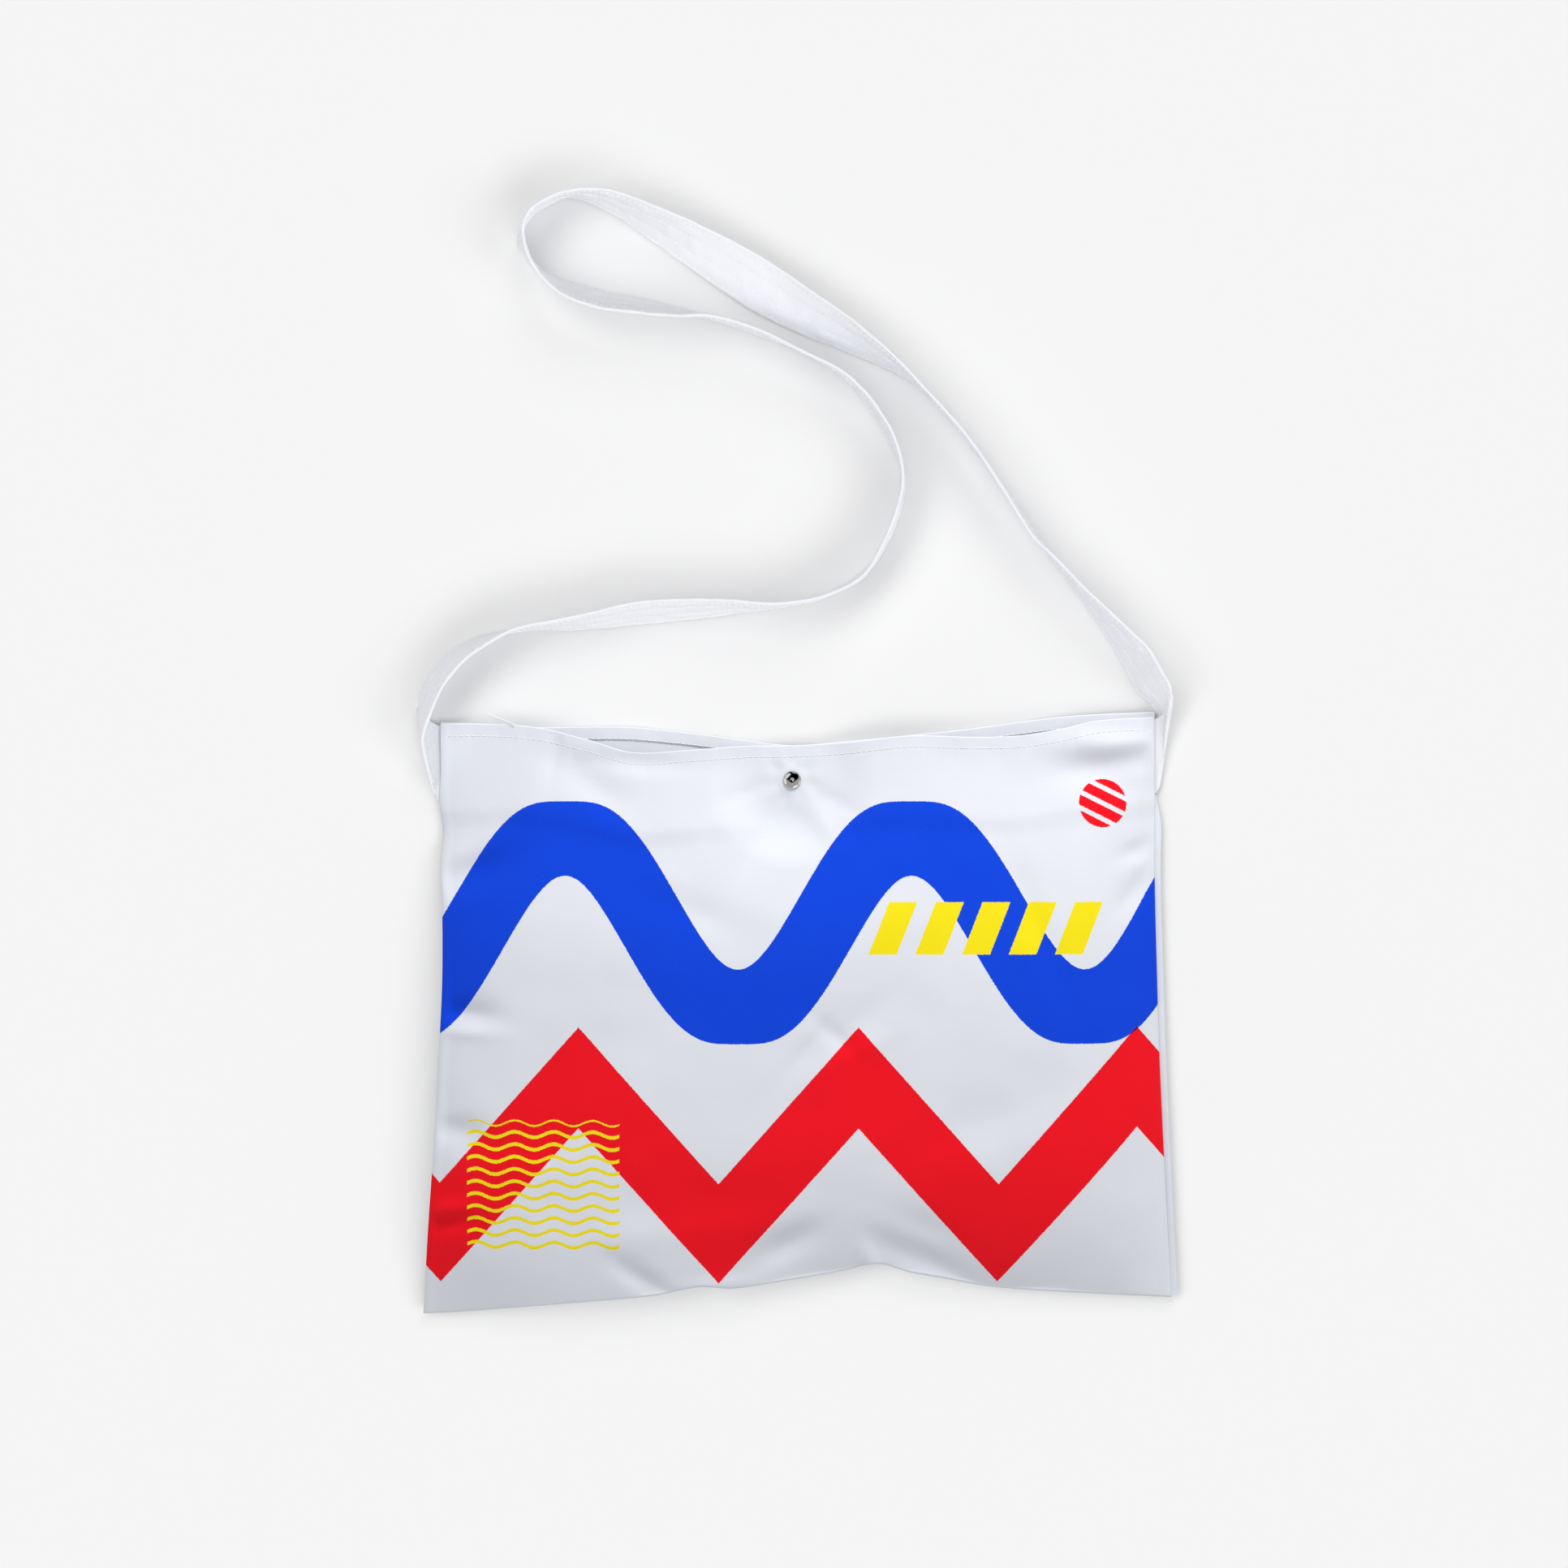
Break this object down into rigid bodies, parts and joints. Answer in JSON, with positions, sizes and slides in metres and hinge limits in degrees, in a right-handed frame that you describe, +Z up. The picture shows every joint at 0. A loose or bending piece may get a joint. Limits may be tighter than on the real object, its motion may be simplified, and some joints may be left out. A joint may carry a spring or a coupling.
{
  "type": "cycling musette bag",
  "caption": "Flat cotton feed bag with two cloth panels, one snap at the mouth and a long twisted shoulder strap, lying on its back.",
  "frame": {"origin": "on the surface that the bag lies on, under the middle of the bag's back panel", "axes": "+Z up from the surface, +Y from the bottom fold towards the mouth and the strap, +X to the right seen from above"},
  "size_m": [0.4122, 0.6052, 0.0302],
  "materials": {
    "bag_cloth": "white cotton twill with a printed pattern, matt",
    "strap_cloth": "white cotton twill folded and stitched, matt",
    "snap_steel": "polished nickel plate"
  },
  "bodies": {
    "root": {"back_panel": "bag_cloth", "front_panel": "bag_cloth", "strap": "strap_cloth", "snap_base": "snap_steel", "snap_stud": "snap_steel", "snap_socket": "snap_steel", "snap_cap": "snap_steel"}
  },
  "joints": []
}
